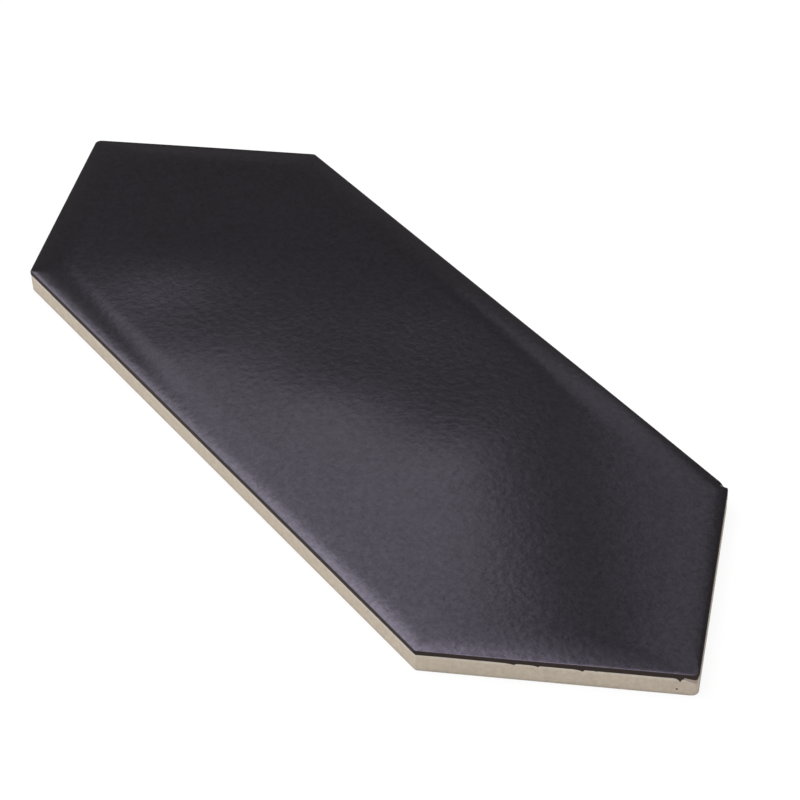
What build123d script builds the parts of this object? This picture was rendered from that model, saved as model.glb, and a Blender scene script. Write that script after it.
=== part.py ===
from build123d import *
import math
import os

os.makedirs("parts", exist_ok=True)

# A picket tile: one piece of pressed and fired clay, glazed on its face.
# Millimetres. The glazed face looks up (+Z), the points are on the X axis, and the origin is under the
# middle of the tile, in the plane of the back.

# Outline
width = 100.0                # across the two long straight sides
length_over_points = 291.5   # from one rounded point to the other
point_angle = 92.0           # between the two short sides at each point
point_radius = 1.5           # plan rounding of the two points
blunt_corner_radius = 1.0    # plan rounding of the other four corners

# Section
thickness = 8.5              # from the back ribs to the flat of the face
pillow_width = 5.0           # how far in from the side the face begins to fall away
pillow_drop = 1.0            # how far the face has fallen where it reaches the side
glaze_edge_radius = 0.9      # full round turn from the pillowed edge down into the side
back_edge_radius = 0.5       # rubbed lower edge of the bare clay

# Back
plain_border = 8.0           # level land all round the back
rib_width = 3.5              # ribs that stay level with the border
groove_width = 7.0           # mortar keys between the ribs
groove_depth = 0.8
groove_corner_radius = 2.0
groove_draft = 30.0          # slope of the groove flanks from upright, so that the press lets go

# Plan geometry that follows from the sizes above
half_angle = math.radians(point_angle / 2.0)
half_width = width / 2.0
point_cut = point_radius / math.sin(half_angle) - point_radius
sharp_half_length = length_over_points / 2.0 + point_cut
short_side_offset = sharp_half_length * math.sin(half_angle)


def hexagon(inset):
    """Sharp six-sided outline of the tile, moved in by inset on every side."""
    tip = sharp_half_length - inset / math.sin(half_angle)
    side = half_width - inset
    corner = tip - side / math.tan(half_angle)
    corners = [(tip, 0), (corner, side), (-corner, side), (-tip, 0), (-corner, -side), (corner, -side)]
    return make_face(Polyline(*corners, close=True))


def crowned_bar(half_distance, heading):
    """Long bar with the tile's section: level back, upright sides and a face that falls at both sides."""
    lip = thickness - pillow_drop
    flat = half_distance - pillow_width
    pillow_radius = (pillow_width ** 2 + pillow_drop ** 2) / (2.0 * pillow_drop)
    section = make_face(
        Polyline((-half_distance, lip), (-half_distance, 0), (half_distance, 0), (half_distance, lip))
        + RadiusArc((half_distance, lip), (flat, thickness), -pillow_radius)
        + Line((flat, thickness), (-flat, thickness))
        + RadiusArc((-flat, thickness), (-half_distance, lip), -pillow_radius)
    )
    glaze_edges = section.vertices().filter_by(lambda corner: abs(corner.Y - lip) < 0.01)
    section = fillet(glaze_edges, glaze_edge_radius)
    bar = extrude(Plane.XZ * section, amount=sharp_half_length, both=True)
    return Rot(0, 0, heading) * bar


# The six pillowed edges are three bars of the same section crossing each other, one for each pair of
# parallel sides. Where two of them meet, the pillow closes in a mitre towards the corner.
heading = 90.0 - point_angle / 2.0
blank = crowned_bar(half_width, 90.0)
blank = blank & crowned_bar(short_side_offset, heading)
blank = blank & crowned_bar(short_side_offset, -heading)

# The upright corners are worn round, more at the two points than at the four blunt corners.
plan = hexagon(0.0)
plan = fillet(plan.vertices().sort_by(Axis.X)[0::5], point_radius)
plan = fillet(plan.vertices().filter_by(lambda corner: abs(corner.Y) > half_width - 0.1), blunt_corner_radius)
blank = blank & extrude(plan, amount=thickness)

# The lower edge of the bare clay is rubbed round.
lower_edges = blank.edges().filter_by(lambda edge: edge.bounding_box().max.Z < 0.01)
blank = fillet(lower_edges, back_edge_radius)

# Back: level ribs with shallow mortar keys between them, all inside a level border. Each key has
# sloping flanks and round corners, and the outer keys are shorter because the points cut them off.
field = hexagon(plain_border)
pitch = rib_width + groove_width
grooves_across = int((width - 2.0 * plain_border + rib_width) // pitch)
picket_tile = blank
for index in range(grooves_across):
    middle = (index - (grooves_across - 1) / 2.0) * pitch
    mouth = field & Pos(0, middle) * Rectangle(length_over_points, groove_width)
    mouth = fillet(mouth.vertices(), groove_corner_radius)
    key = extrude(mouth, amount=groove_depth, taper=groove_draft)
    picket_tile = picket_tile - key

picket_tile.label = "picket_tile"
export_step(picket_tile, "parts/picket_tile.step")
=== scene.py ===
import bmesh
import bpy
import math
from mathutils import Matrix, Vector, noise


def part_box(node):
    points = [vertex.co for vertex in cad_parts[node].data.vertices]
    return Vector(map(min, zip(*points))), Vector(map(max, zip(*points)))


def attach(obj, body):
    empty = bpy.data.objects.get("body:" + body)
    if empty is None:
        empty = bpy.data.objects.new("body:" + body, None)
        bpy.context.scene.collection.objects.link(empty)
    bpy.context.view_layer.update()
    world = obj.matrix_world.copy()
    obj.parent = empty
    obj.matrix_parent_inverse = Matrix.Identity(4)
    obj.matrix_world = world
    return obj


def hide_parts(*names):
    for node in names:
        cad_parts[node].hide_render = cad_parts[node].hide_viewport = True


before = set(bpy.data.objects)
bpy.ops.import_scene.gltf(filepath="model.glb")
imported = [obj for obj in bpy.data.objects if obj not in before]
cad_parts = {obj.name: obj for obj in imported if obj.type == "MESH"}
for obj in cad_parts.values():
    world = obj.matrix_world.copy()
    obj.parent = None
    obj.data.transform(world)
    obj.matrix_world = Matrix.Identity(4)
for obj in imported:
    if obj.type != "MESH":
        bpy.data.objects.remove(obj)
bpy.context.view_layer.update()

# Picket tile
# One piece of pressed cream clay, fired with a matte black glaze over its face. The press leaves upright
# bare sides and a ribbed back, and the glaze rounds the face down into a soft pillowed edge all round.

# The solid stands in the middle of the frame, so the upper corner of its box gives half its length, half its
# width and its whole thickness.
mm = 0.001
half_length, half_width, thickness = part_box("picket_tile")[1]
point_angle = math.radians(92)
half_angle = point_angle / 2
point_radius = 1.5 * mm
blunt_corner_radius = 1.0 * mm
sharp_half_length = half_length + point_radius / math.sin(half_angle) - point_radius
blunt_corner_x = sharp_half_length - half_width / math.tan(half_angle)
short_side_length = half_width / math.sin(half_angle)


def hexagon(inset):
    """Corners of the picket outline, moved in by inset on every side, anticlockwise from the +X point."""
    tip = sharp_half_length - inset / math.sin(half_angle)
    side = half_width - inset
    corner = tip - side / math.tan(half_angle)
    return [(tip, 0), (corner, side), (-corner, side), (-tip, 0), (-corner, -side), (corner, -side)]


def round_corners(corners, radii, steps_round, steps_along):
    """Points along a polygon whose corners are arcs, with a set number on each arc and on each side."""
    arcs = []
    for index, corner in enumerate(corners):
        here = Vector(corner)
        before = (Vector(corners[index - 1]) - here).normalized()
        after = (Vector(corners[(index + 1) % len(corners)]) - here).normalized()
        half = before.angle(after) / 2
        middle = here + (before + after).normalized() * radii[index] / math.sin(half)
        first = here + before * radii[index] / math.tan(half) - middle
        turn = math.pi - 2 * half
        arcs.append([middle + Matrix.Rotation(turn * step / steps_round, 2) @ first
                     for step in range(steps_round + 1)])
    points = []
    for index, arc in enumerate(arcs):
        points += arc
        start, end = arc[-1], arcs[(index + 1) % len(arcs)][0]
        count = steps_along[index]
        points += [start.lerp(end, step / count) for step in range(1, count)]
    return points


# The upright corners are nearly sharp in the clay, and the pillow rounds them more the further in it lies.
pillow_width = 11.3 * mm
corner_softening = 2.2
corner_steps = 8
short_side_steps = 216
long_side_steps = 300
steps_along = [short_side_steps, long_side_steps, short_side_steps] * 2


def ring(inset):
    """Outline of the tile at one distance in from its side, as a list of points."""
    room = 1 - inset / half_width
    soften = corner_softening * min(inset, pillow_width)
    plan_radii = [point_radius, blunt_corner_radius, blunt_corner_radius] * 2
    radii = [(radius + soften) * room for radius in plan_radii]
    return round_corners(hexagon(inset), radii, corner_steps, steps_along)


# The face is crowned a little both ways, with shallow swells from the press and the glaze. The last but one
# raises the far long edge, and the last is a small nick in the rim by the far right-hand corner. Each is
# given by the place of its middle, its reach and its height, which is less than nothing for a hollow.
crown_across = 0.15 * mm
crown_along = 0.15 * mm
swells = [
    (-76 * mm, -14 * mm, 15 * mm, 0.38 * mm),
    (-37 * mm, -36 * mm, 14 * mm, 0.17 * mm),
    (5 * mm, -12 * mm, 14 * mm, 0.20 * mm),
    (10 * mm, 23 * mm, 18 * mm, -0.22 * mm),
    (45 * mm, -2.5 * mm, 15 * mm, 0.22 * mm),
    (115 * mm, -11 * mm, 14 * mm, 0.11 * mm),
    (124 * mm, -38 * mm, 20 * mm, -0.28 * mm),
    (50 * mm, 60 * mm, 40 * mm, 0.33 * mm),
    (96.5 * mm, 50 * mm, 0.6 * mm, -0.70 * mm),
]


def rise(x, y):
    """Height that the crown and the swells add at one place on the face."""
    total = -crown_across * (y / half_width) ** 2 - crown_along * (x / half_length) ** 2
    for middle_x, middle_y, reach, height in swells:
        apart = ((x - middle_x) ** 2 + (y - middle_y) ** 2) / (2 * reach ** 2)
        total += height * math.exp(-apart)
    return total


# The glaze stops a little way down the side, on a line that wanders slightly. On the near right-hand short
# side it sags and has small tears that lean to the right, and it runs down further at the point and by the
# far right-hand corner. A tear is given by its distance along that side from the blunt corner, how far it
# hangs down, and its reach to the left and to the right.
glaze_line = 5.8 * mm
line_wander = 0.05 * mm
line_wander_length = 9 * mm
near_end_sag = 0.15 * mm
glaze_tears = [
    (24.7 * mm, 0.50 * mm, 4.0 * mm, 0.5 * mm),
    (30.5 * mm, 0.45 * mm, 2.5 * mm, 0.5 * mm),
    (41.4 * mm, 0.60 * mm, 3.0 * mm, 0.5 * mm),
    (44.6 * mm, 0.15 * mm, 0.8 * mm, 0.6 * mm),
    (65.0 * mm, 1.25 * mm, 1.7 * mm, 0.7 * mm),
]
tear_sharpness = 2.5
point_run_start = 65.2 * mm
point_run_depth = 1.6 * mm
far_corner_run_reach = 6.0 * mm
far_corner_run_depth = 3.0 * mm


def glaze_line_height(x, y):
    """Height of the lower edge of the glaze at a place on the outline."""
    height = glaze_line + line_wander * noise.noise(Vector((x, y, 0)) / line_wander_length)
    along = math.hypot(x - blunt_corner_x, abs(y) - half_width)
    if x > blunt_corner_x and y < 0:
        height -= near_end_sag
        for middle, depth, reach_left, reach_right in glaze_tears:
            ahead = along - middle
            share = 1 - abs(ahead) / (reach_left if ahead < 0 else reach_right)
            if share > 0:
                height -= depth * share ** tear_sharpness
        if along > point_run_start:
            height -= point_run_depth * (along - point_run_start) / (short_side_length - point_run_start)
    if x > blunt_corner_x and y > 0 and along < far_corner_run_reach:
        height -= far_corner_run_depth * (1 - along / far_corner_run_reach) ** 2
    return height


# The pillow falls ever faster towards the side, until it has its full slope there.
pillow_slope = 0.172
pillow_softness = 1.08


def pillow_fall(inset):
    """How far the pillow lies under the level of the face, by the distance in from the side."""
    full_fall = pillow_slope * pillow_width / (pillow_softness + 1)
    return full_fall * max(1 - inset / pillow_width, 0) ** (pillow_softness + 1)


mesh = bmesh.new()
rings = []


def add_ring(inset, height):
    """Adds one ring of points. The height is a function of the place."""
    rings.append([mesh.verts.new((point.x, point.y, height(point.x, point.y))) for point in ring(inset)])


# Section from the back up: level back, rubbed lower edge, bare side, the small lip where the glaze starts,
# the glazed side, its full round turn, the pillow and the face.
back_land = 2.5 * mm
back_edge_radius = 0.5 * mm
back_edge_steps = 4
side_steps = 8
glaze_lip = 0.06 * mm
glaze_side_shares = (0.04, 0.28, 0.52, 0.76)
glaze_edge_radius = 0.4 * mm
glaze_edge_steps = 8
edge_slope = 0.167
edge_turn = math.pi / 2 - math.atan(edge_slope)
edge_inset = glaze_edge_radius * (1 - math.cos(edge_turn))
edge_middle = thickness - pillow_fall(edge_inset) - glaze_edge_radius * math.sin(edge_turn)

# Past the pillow the rings lie wider and wider apart, up to the last one along the middle of the face.
pillow_steps = 14
first_face_step = 0.8 * mm
face_step_growth = 0.25
widest_face_step = 2.5 * mm
room_for_last_step = 3.4 * mm
last_ring_from_middle = 0.5 * mm
face_insets = [edge_inset + (pillow_width - edge_inset) * step / pillow_steps
               for step in range(1, pillow_steps + 1)]
while face_insets[-1] < half_width - room_for_last_step:
    face_step = first_face_step + (face_insets[-1] - pillow_width) * face_step_growth
    face_insets.append(face_insets[-1] + min(face_step, widest_face_step))
face_insets.append(half_width - last_ring_from_middle)
highest = max(rise(point.x, point.y) for inset in face_insets for point in ring(inset))

add_ring(back_land, lambda x, y: 0)
for step in range(back_edge_steps + 1):
    turn = math.pi / 2 * step / back_edge_steps
    add_ring(glaze_lip + back_edge_radius * (1 - math.sin(turn)),
             lambda x, y: back_edge_radius * (1 - math.cos(turn)))
for step in range(1, side_steps + 1):
    share = step / side_steps
    add_ring(glaze_lip,
             lambda x, y: back_edge_radius + (glaze_line_height(x, y) - back_edge_radius) * share)
glaze_ring = len(rings) - 1
for share in glaze_side_shares:
    add_ring(0, lambda x, y: (glaze_line_height(x, y) * (1 - share)
                              + (edge_middle - highest + rise(x, y)) * share))
for step in range(glaze_edge_steps + 1):
    turn = edge_turn * step / glaze_edge_steps
    add_ring(glaze_edge_radius * (1 - math.cos(turn)),
             lambda x, y: edge_middle + glaze_edge_radius * math.sin(turn) - highest + rise(x, y))
for inset in face_insets:
    add_ring(inset, lambda x, y: thickness - pillow_fall(inset) - highest + rise(x, y))

# The lowest rows of the glaze are its dull brown edge. At the right-hand point, and all along the far side
# behind it, the lowest few of them are thin.
brown_edge_rows = 11
thin_rows = 3
thin_glaze_start = 65.8 * mm
near_blunt_corner = Vector((blunt_corner_x, -half_width))
glaze_index, clay_index, thin_index, pit_index, edge_index = range(5)
count = len(rings[0])
for number, (outer, inner) in enumerate(zip(rings, rings[1:])):
    row = number - glaze_ring
    for index in range(count):
        after = (index + 1) % count
        corner = outer[index].co
        past_thin_start = (corner.xy - near_blunt_corner).length > thin_glaze_start
        face = mesh.faces.new((outer[index], outer[after], inner[after], inner[index]))
        face.smooth = True
        face.material_index = glaze_index if row >= 0 else clay_index
        if 0 <= row < brown_edge_rows:
            face.material_index = edge_index
        if 0 <= row < thin_rows and corner.x > blunt_corner_x and past_thin_start:
            face.material_index = thin_index
        if row == 0:
            mesh.edges.get((outer[index], outer[after])).smooth = False
            mesh.edges.get((inner[index], inner[after])).smooth = False
back = mesh.faces.new(reversed(rings[0]))
back.material_index = clay_index

# The last ring closes across the long axis, each point to the one opposite it.
last = rings[-1]
for index in range(count // 2):
    here = (index + corner_steps // 2) % count
    across = (corner_steps // 2 - index - 1) % count
    corners = [last[here], last[(here + 1) % count], last[across], last[(across + 1) % count]]
    corners = list(dict.fromkeys(corners))
    if len(corners) > 2:
        face = mesh.faces.new(corners)
        face.smooth = True
        face.material_index = glaze_index

bmesh.ops.recalc_face_normals(mesh, faces=mesh.faces)
tile_mesh = bpy.data.meshes.new("picket_tile_fired")
mesh.to_mesh(tile_mesh)
mesh.free()
tile = bpy.data.objects.new("picket_tile_fired", tile_mesh)
bpy.context.scene.collection.objects.link(tile)

# Back: ribs that stay level with a plain border, and between them shallow keys for the mortar with sloping
# flanks and round corners. The points of the tile cut the outer keys short.
plain_border = 8.0 * mm
rib_width = 3.5 * mm
groove_width = 7.0 * mm
groove_depth = 0.8 * mm
groove_corner_radius = 2.0 * mm
groove_corner_steps = 5
groove_draft = math.radians(30)
groove_pitch = rib_width + groove_width
groove_count = int((2 * half_width - 2 * plain_border + rib_width) // groove_pitch)
press_overhang = 0.3 * mm
press = bmesh.new()
for index in range(groove_count):
    middle = (index - (groove_count - 1) / 2) * groove_pitch
    layers = []
    for height in (-press_overhang, groove_depth):
        narrowing = height * math.tan(groove_draft)
        reach = sharp_half_length - (plain_border + narrowing) / math.sin(half_angle)
        first = middle - groove_width / 2 + narrowing
        second = middle + groove_width / 2 - narrowing
        end_first = reach - abs(first) / math.tan(half_angle)
        end_second = reach - abs(second) / math.tan(half_angle)
        corners = [(-end_first, first), (end_first, first), (end_second, second), (-end_second, second)]
        radii = [groove_corner_radius - narrowing] * 4
        outline = round_corners(corners, radii, groove_corner_steps, [1] * 4)
        layers.append([press.verts.new((point.x, point.y, height)) for point in outline])
    outer, inner = layers
    press.faces.new(reversed(outer)).material_index = clay_index
    press.faces.new(inner).material_index = clay_index
    for step in range(len(outer)):
        after = (step + 1) % len(outer)
        flank = press.faces.new((outer[step], outer[after], inner[after], inner[step]))
        flank.material_index = clay_index

# One small dark pit where a speck has burnt out of the bare clay, near the right-hand point.
pit_along = 64.2 * mm
pit_height = 2.1 * mm
pit_radius = 0.28 * mm
pit_x = blunt_corner_x + pit_along * math.cos(half_angle)
pit_y = -half_width + pit_along * math.sin(half_angle)
speck = bmesh.ops.create_icosphere(press, subdivisions=3, radius=pit_radius,
                                   matrix=Matrix.Translation((pit_x, pit_y, pit_height)))
for vertex in speck["verts"]:
    for face in vertex.link_faces:
        face.material_index = pit_index
press_mesh = bpy.data.meshes.new("press_tool")
press.to_mesh(press_mesh)
press.free()
press_tool = bpy.data.objects.new("press_tool", press_mesh)
bpy.context.scene.collection.objects.link(press_tool)
stamp = tile.modifiers.new("stamp", "BOOLEAN")
stamp.operation = "DIFFERENCE"
stamp.solver = "MANIFOLD"
stamp.object = press_tool


def linear(hex_colour):
    """An sRGB hex colour as the linear RGBA that Blender works in."""
    channels = [int(hex_colour[start:start + 2], 16) / 255 for start in (1, 3, 5)]
    return [c / 12.92 if c <= 0.04045 else ((c + 0.055) / 1.055) ** 2.4 for c in channels] + [1]


def node(tree, kind, settings, links):
    """Adds one node, sets its properties and inputs, and links its inputs to the outputs given."""
    added = tree.nodes.new(kind)
    for name, value in settings.items():
        if isinstance(name, int) or name in added.inputs:
            added.inputs[name].default_value = value
        else:
            setattr(added, name, value)
    for name, source in links.items():
        tree.links.new(source, added.inputs[name])
    return added


# Matte black glaze: a fired glass with fine crystals in it, and a soft sheen. The eye sees a near-black with
# a slight violet cast, a little browner where it thins at the rim, a faint orange peel, and a mottle of
# crystals that is drawn coarser than the real ones so that it shows.
glaze = bpy.data.materials.new("matte_black_glaze")
glaze.use_nodes = True
tree = glaze.node_tree
shader = tree.nodes["Principled BSDF"]
place = node(tree, "ShaderNodeTexCoord", {}, {}).outputs["Object"]
crystals = node(tree, "ShaderNodeTexNoise", {"Scale": 1 / (1.5 * mm), "Detail": 3.0, "Roughness": 1.0},
                {"Vector": place})
cast = node(tree, "ShaderNodeMix", {"data_type": "RGBA", 6: linear("#030303"), 7: linear("#161415")},
            {0: crystals.outputs["Fac"]})
glint = node(tree, "ShaderNodeMapRange", {"To Min": 0.12, "To Max": 1.0}, {"Value": crystals.outputs["Fac"]})
tree.links.new(glint.outputs[0], shader.inputs["Specular IOR Level"])
level = node(tree, "ShaderNodeSeparateXYZ", {}, {0: place}).outputs["Z"]
edge = node(tree, "ShaderNodeMapRange", {"From Min": 7.0 * mm, "From Max": 7.9 * mm}, {"Value": level})
colour = node(tree, "ShaderNodeMix", {"data_type": "RGBA", 6: linear("#110d0c")},
              {0: edge.outputs[0], 7: cast.outputs[2]})
tree.links.new(colour.outputs[2], shader.inputs["Base Color"])
peel = node(tree, "ShaderNodeTexNoise", {"Scale": 1 / (2 * mm), "Detail": 3.0, "Roughness": 0.6},
            {"Vector": place})
bump = node(tree, "ShaderNodeBump", {"Distance": 0.025 * mm}, {"Height": peel.outputs["Fac"]})
tree.links.new(bump.outputs["Normal"], shader.inputs["Normal"])
shader.inputs["Roughness"].default_value = 0.15
shader.inputs["IOR"].default_value = 1.65
shader.inputs["Specular Tint"].default_value = linear("#ebe0ff")

# Bare fired clay: pale cream and quite matt, with an open grain that is drawn coarser than the real one so
# that it shows. A paler strip of slip lies close under the glaze, and it is darker and greyer at the bottom.
clay = bpy.data.materials.new("bare_cream_clay")
clay.use_nodes = True
tree = clay.node_tree
shader = tree.nodes["Principled BSDF"]
place = node(tree, "ShaderNodeTexCoord", {}, {}).outputs["Object"]
level = node(tree, "ShaderNodeSeparateXYZ", {}, {0: place}).outputs["Z"]
drift = node(tree, "ShaderNodeTexNoise", {"Scale": 1 / (5 * mm), "Detail": 3.0}, {"Vector": place})
wander = 0.6 * mm
wobble = node(tree, "ShaderNodeMath", {"operation": "MULTIPLY_ADD", 1: wander, 2: -wander / 2},
              {0: drift.outputs["Fac"]})
band = node(tree, "ShaderNodeMath", {"operation": "ADD"}, {0: level, 1: wobble.outputs[0]})
share = node(tree, "ShaderNodeMapRange", {"From Min": 0.0, "From Max": 6 * mm}, {"Value": band.outputs[0]})
strips = node(tree, "ShaderNodeValToRGB", {}, {0: share.outputs[0]})
strips.color_ramp.elements[0].position = 0.06
strips.color_ramp.elements[0].color = linear("#a09689")
strips.color_ramp.elements[1].position = 0.94
strips.color_ramp.elements[1].color = linear("#b8afa3")
for stop, tone in [(0.2, "#ada191"), (0.78, "#aea293"), (0.88, "#b8afa1")]:
    strips.color_ramp.elements.new(stop).color = linear(tone)
grain = node(tree, "ShaderNodeTexNoise", {"Scale": 1 / (1.6 * mm), "Detail": 4.0, "Roughness": 0.75},
             {"Vector": place})
shade = node(tree, "ShaderNodeMapRange", {"From Min": 0.3, "From Max": 0.7, "To Min": 0.86, "To Max": 1.08},
             {"Value": grain.outputs["Fac"]})
body = node(tree, "ShaderNodeVectorMath", {"operation": "SCALE"},
            {0: strips.outputs["Color"], 3: shade.outputs[0]})
tree.links.new(body.outputs[0], shader.inputs["Base Color"])
tooth = node(tree, "ShaderNodeTexNoise", {"Scale": 1 / (0.5 * mm), "Detail": 3.0}, {"Vector": place})
bump = node(tree, "ShaderNodeBump", {"Distance": 0.05 * mm}, {"Height": tooth.outputs["Fac"]})
tree.links.new(bump.outputs["Normal"], shader.inputs["Normal"])
shader.inputs["Roughness"].default_value = 0.9

# Thin glaze: where it has run down at the right-hand point and along the far side behind it, the clay shows
# through as a dull mauve grey.
thin_glaze = bpy.data.materials.new("thin_run_glaze")
thin_glaze.use_nodes = True
shader = thin_glaze.node_tree.nodes["Principled BSDF"]
shader.inputs["Base Color"].default_value = linear("#8a7b74")
shader.inputs["Roughness"].default_value = 0.5

# Lower edge of the glaze: it has pooled there, soaked up iron from the clay and dried out in the fire, which
# leaves a dull dark brown line all round the tile.
brown_edge = bpy.data.materials.new("dull_brown_glaze_edge")
brown_edge.use_nodes = True
shader = brown_edge.node_tree.nodes["Principled BSDF"]
shader.inputs["Base Color"].default_value = linear("#2b2320")
shader.inputs["Roughness"].default_value = 0.6
shader.inputs["Specular IOR Level"].default_value = 0.1

# Burnt speck: a dark brown iron spot at the bottom of its pit.
burnt = bpy.data.materials.new("burnt_speck")
burnt.use_nodes = True
shader = burnt.node_tree.nodes["Principled BSDF"]
shader.inputs["Base Color"].default_value = linear("#4a3528")
shader.inputs["Roughness"].default_value = 0.8

# The finishes follow in the order of their index, and the back and the pit are pressed in for good.
for material in (glaze, clay, thin_glaze, burnt, brown_edge):
    tile_mesh.materials.append(material)
pressed_mesh = bpy.data.meshes.new_from_object(tile.evaluated_get(bpy.context.evaluated_depsgraph_get()))
tile.modifiers.clear()
tile.data = pressed_mesh
bpy.data.objects.remove(press_tool)
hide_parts("picket_tile")
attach(tile, "root")

# Floor
# A plain white studio floor. The camera and the reflections in the glaze see it as white paper, and it keeps
# a faint shadow of the tile.
floor_reach = 2.0
white_share = 0.88
floor_corners = [(-floor_reach, -floor_reach, 0), (floor_reach, -floor_reach, 0),
                 (floor_reach, floor_reach, 0), (-floor_reach, floor_reach, 0)]
floor_mesh = bpy.data.meshes.new("studio_floor")
floor_mesh.from_pydata(floor_corners, [], [(0, 1, 2, 3)])
floor = bpy.data.objects.new("studio_floor", floor_mesh)
bpy.context.scene.collection.objects.link(floor)
paper = bpy.data.materials.new("white_studio_paper")
paper.use_nodes = True
tree = paper.node_tree
shader = tree.nodes["Principled BSDF"]
shader.inputs["Base Color"].default_value = linear("#e6e6e6")
shader.inputs["Roughness"].default_value = 0.95
shader.inputs["Specular IOR Level"].default_value = 0.1
path = node(tree, "ShaderNodeLightPath", {}, {})
white = node(tree, "ShaderNodeEmission", {"Color": (1, 1, 1, 1), "Strength": 1.0}, {})
seen_or_mirrored = node(tree, "ShaderNodeMath", {"operation": "ADD"},
                        {0: path.outputs["Is Camera Ray"], 1: path.outputs["Is Glossy Ray"]})
seen = node(tree, "ShaderNodeMath", {"operation": "ADD", "use_clamp": True},
            {0: seen_or_mirrored.outputs[0], 1: path.outputs["Is Transmission Ray"]})
share = node(tree, "ShaderNodeMath", {"operation": "MULTIPLY", 1: white_share}, {0: seen.outputs[0]})
mix = node(tree, "ShaderNodeMixShader", {}, {0: share.outputs[0], 1: shader.outputs[0], 2: white.outputs[0]})
tree.links.new(mix.outputs[0], tree.nodes["Material Output"].inputs["Surface"])
floor_mesh.materials.append(paper)

# Studio light
# Four softboxes: a long one high behind the tile on the right, a long one over its left, the largest in front
# on the left and a small square one over the front on the right. Their blurred reflections make the sheen on
# the glaze. The front wall of the room is pale and lights the bare sides, and its far end is dim.
target = Vector((0, 0, thickness))


def softbox(name, azimuth, elevation, distance, width, height, radiance):
    """An area lamp that faces the tile from a compass bearing and a height, given in degrees."""
    lamp = bpy.data.lights.new(name, "AREA")
    lamp.shape = "RECTANGLE"
    lamp.size = width
    lamp.size_y = height
    lamp.energy = radiance * math.pi * width * height
    light = bpy.data.objects.new(name, lamp)
    turn, lift = math.radians(azimuth), math.radians(elevation)
    away = Vector((math.cos(lift) * math.cos(turn), math.cos(lift) * math.sin(turn), math.sin(lift)))
    light.location = target + distance * away
    light.rotation_euler = away.to_track_quat("Z", "Y").to_euler()
    bpy.context.scene.collection.objects.link(light)


softbox("softbox_behind", azimuth=56.8, elevation=68.8, distance=0.774,
        width=2.49, height=0.246, radiance=0.37)
softbox("softbox_over_left", azimuth=232, elevation=77.8, distance=0.896,
        width=2.17, height=0.405, radiance=0.95)
softbox("softbox_front_left", azimuth=210.5, elevation=39, distance=1.453,
        width=1.55, height=2.36, radiance=1.98)
softbox("softbox_over_front", azimuth=331, elevation=74.2, distance=0.732,
        width=0.8, height=0.775, radiance=1.9)

# The far end is given by its grey at the sine of each height, from the horizon up to overhead. The front wall
# has one grey all the way up, and fades into the far end on both sides of its bearing.
front_wall_grey = (0.62, 0.62, 0.62, 1)
world = bpy.data.worlds.new("studio_room")
bpy.context.scene.world = world
world.use_nodes = True
tree = world.node_tree
heading = node(tree, "ShaderNodeTexCoord", {}, {})
height = node(tree, "ShaderNodeSeparateXYZ", {}, {0: heading.outputs["Generated"]})
far_end = node(tree, "ShaderNodeValToRGB", {}, {0: height.outputs["Z"]})
far_end.color_ramp.elements[0].color = (0.03, 0.03, 0.03, 1)
far_end.color_ramp.elements[1].color = (0.77, 0.77, 0.77, 1)
for stop, grey in [(0.1, 0.02), (0.35, 0.21), (0.6, 0.125), (0.8, 0.28)]:
    far_end.color_ramp.elements.new(stop).color = (grey, grey, grey, 1)
front_bearing = math.radians(-25)
front = (math.cos(front_bearing), math.sin(front_bearing), 0)
to_front = node(tree, "ShaderNodeVectorMath", {"operation": "DOT_PRODUCT", 1: front},
                {0: heading.outputs["Generated"]})
front_share = node(tree, "ShaderNodeMapRange",
                   {"interpolation_type": "SMOOTHSTEP", "From Min": 0.0, "From Max": 0.6},
                   {"Value": to_front.outputs["Value"]})
walls = node(tree, "ShaderNodeMix", {"data_type": "RGBA", 7: front_wall_grey},
             {0: front_share.outputs[0], 6: far_end.outputs["Color"]})
room = tree.nodes["Background"]
tree.links.new(walls.outputs[2], room.inputs["Color"])
room.inputs["Strength"].default_value = 1.0

# Camera
# A short telephoto in front of the tile and to its right, which looks down on it by about forty degrees. It
# is held a little askew.
camera_place = Vector((479.1, -300.6, 459.4)) * mm
camera_aim = Vector((17.475, 1.818, 8.0)) * mm
camera_roll = math.radians(-2.48)
camera_data = bpy.data.cameras.new("camera")
camera_data.sensor_width = 36.0
camera_data.lens = 117.75
camera = bpy.data.objects.new("camera", camera_data)
camera.location = camera_place
facing = (camera_place - camera_aim).normalized().to_track_quat("Z", "Y").to_matrix()
camera.rotation_euler = (facing @ Matrix.Rotation(camera_roll, 3, "Z")).to_euler()
bpy.context.scene.collection.objects.link(camera)
bpy.context.scene.camera = camera

bpy.context.scene.view_settings.view_transform = "Standard"
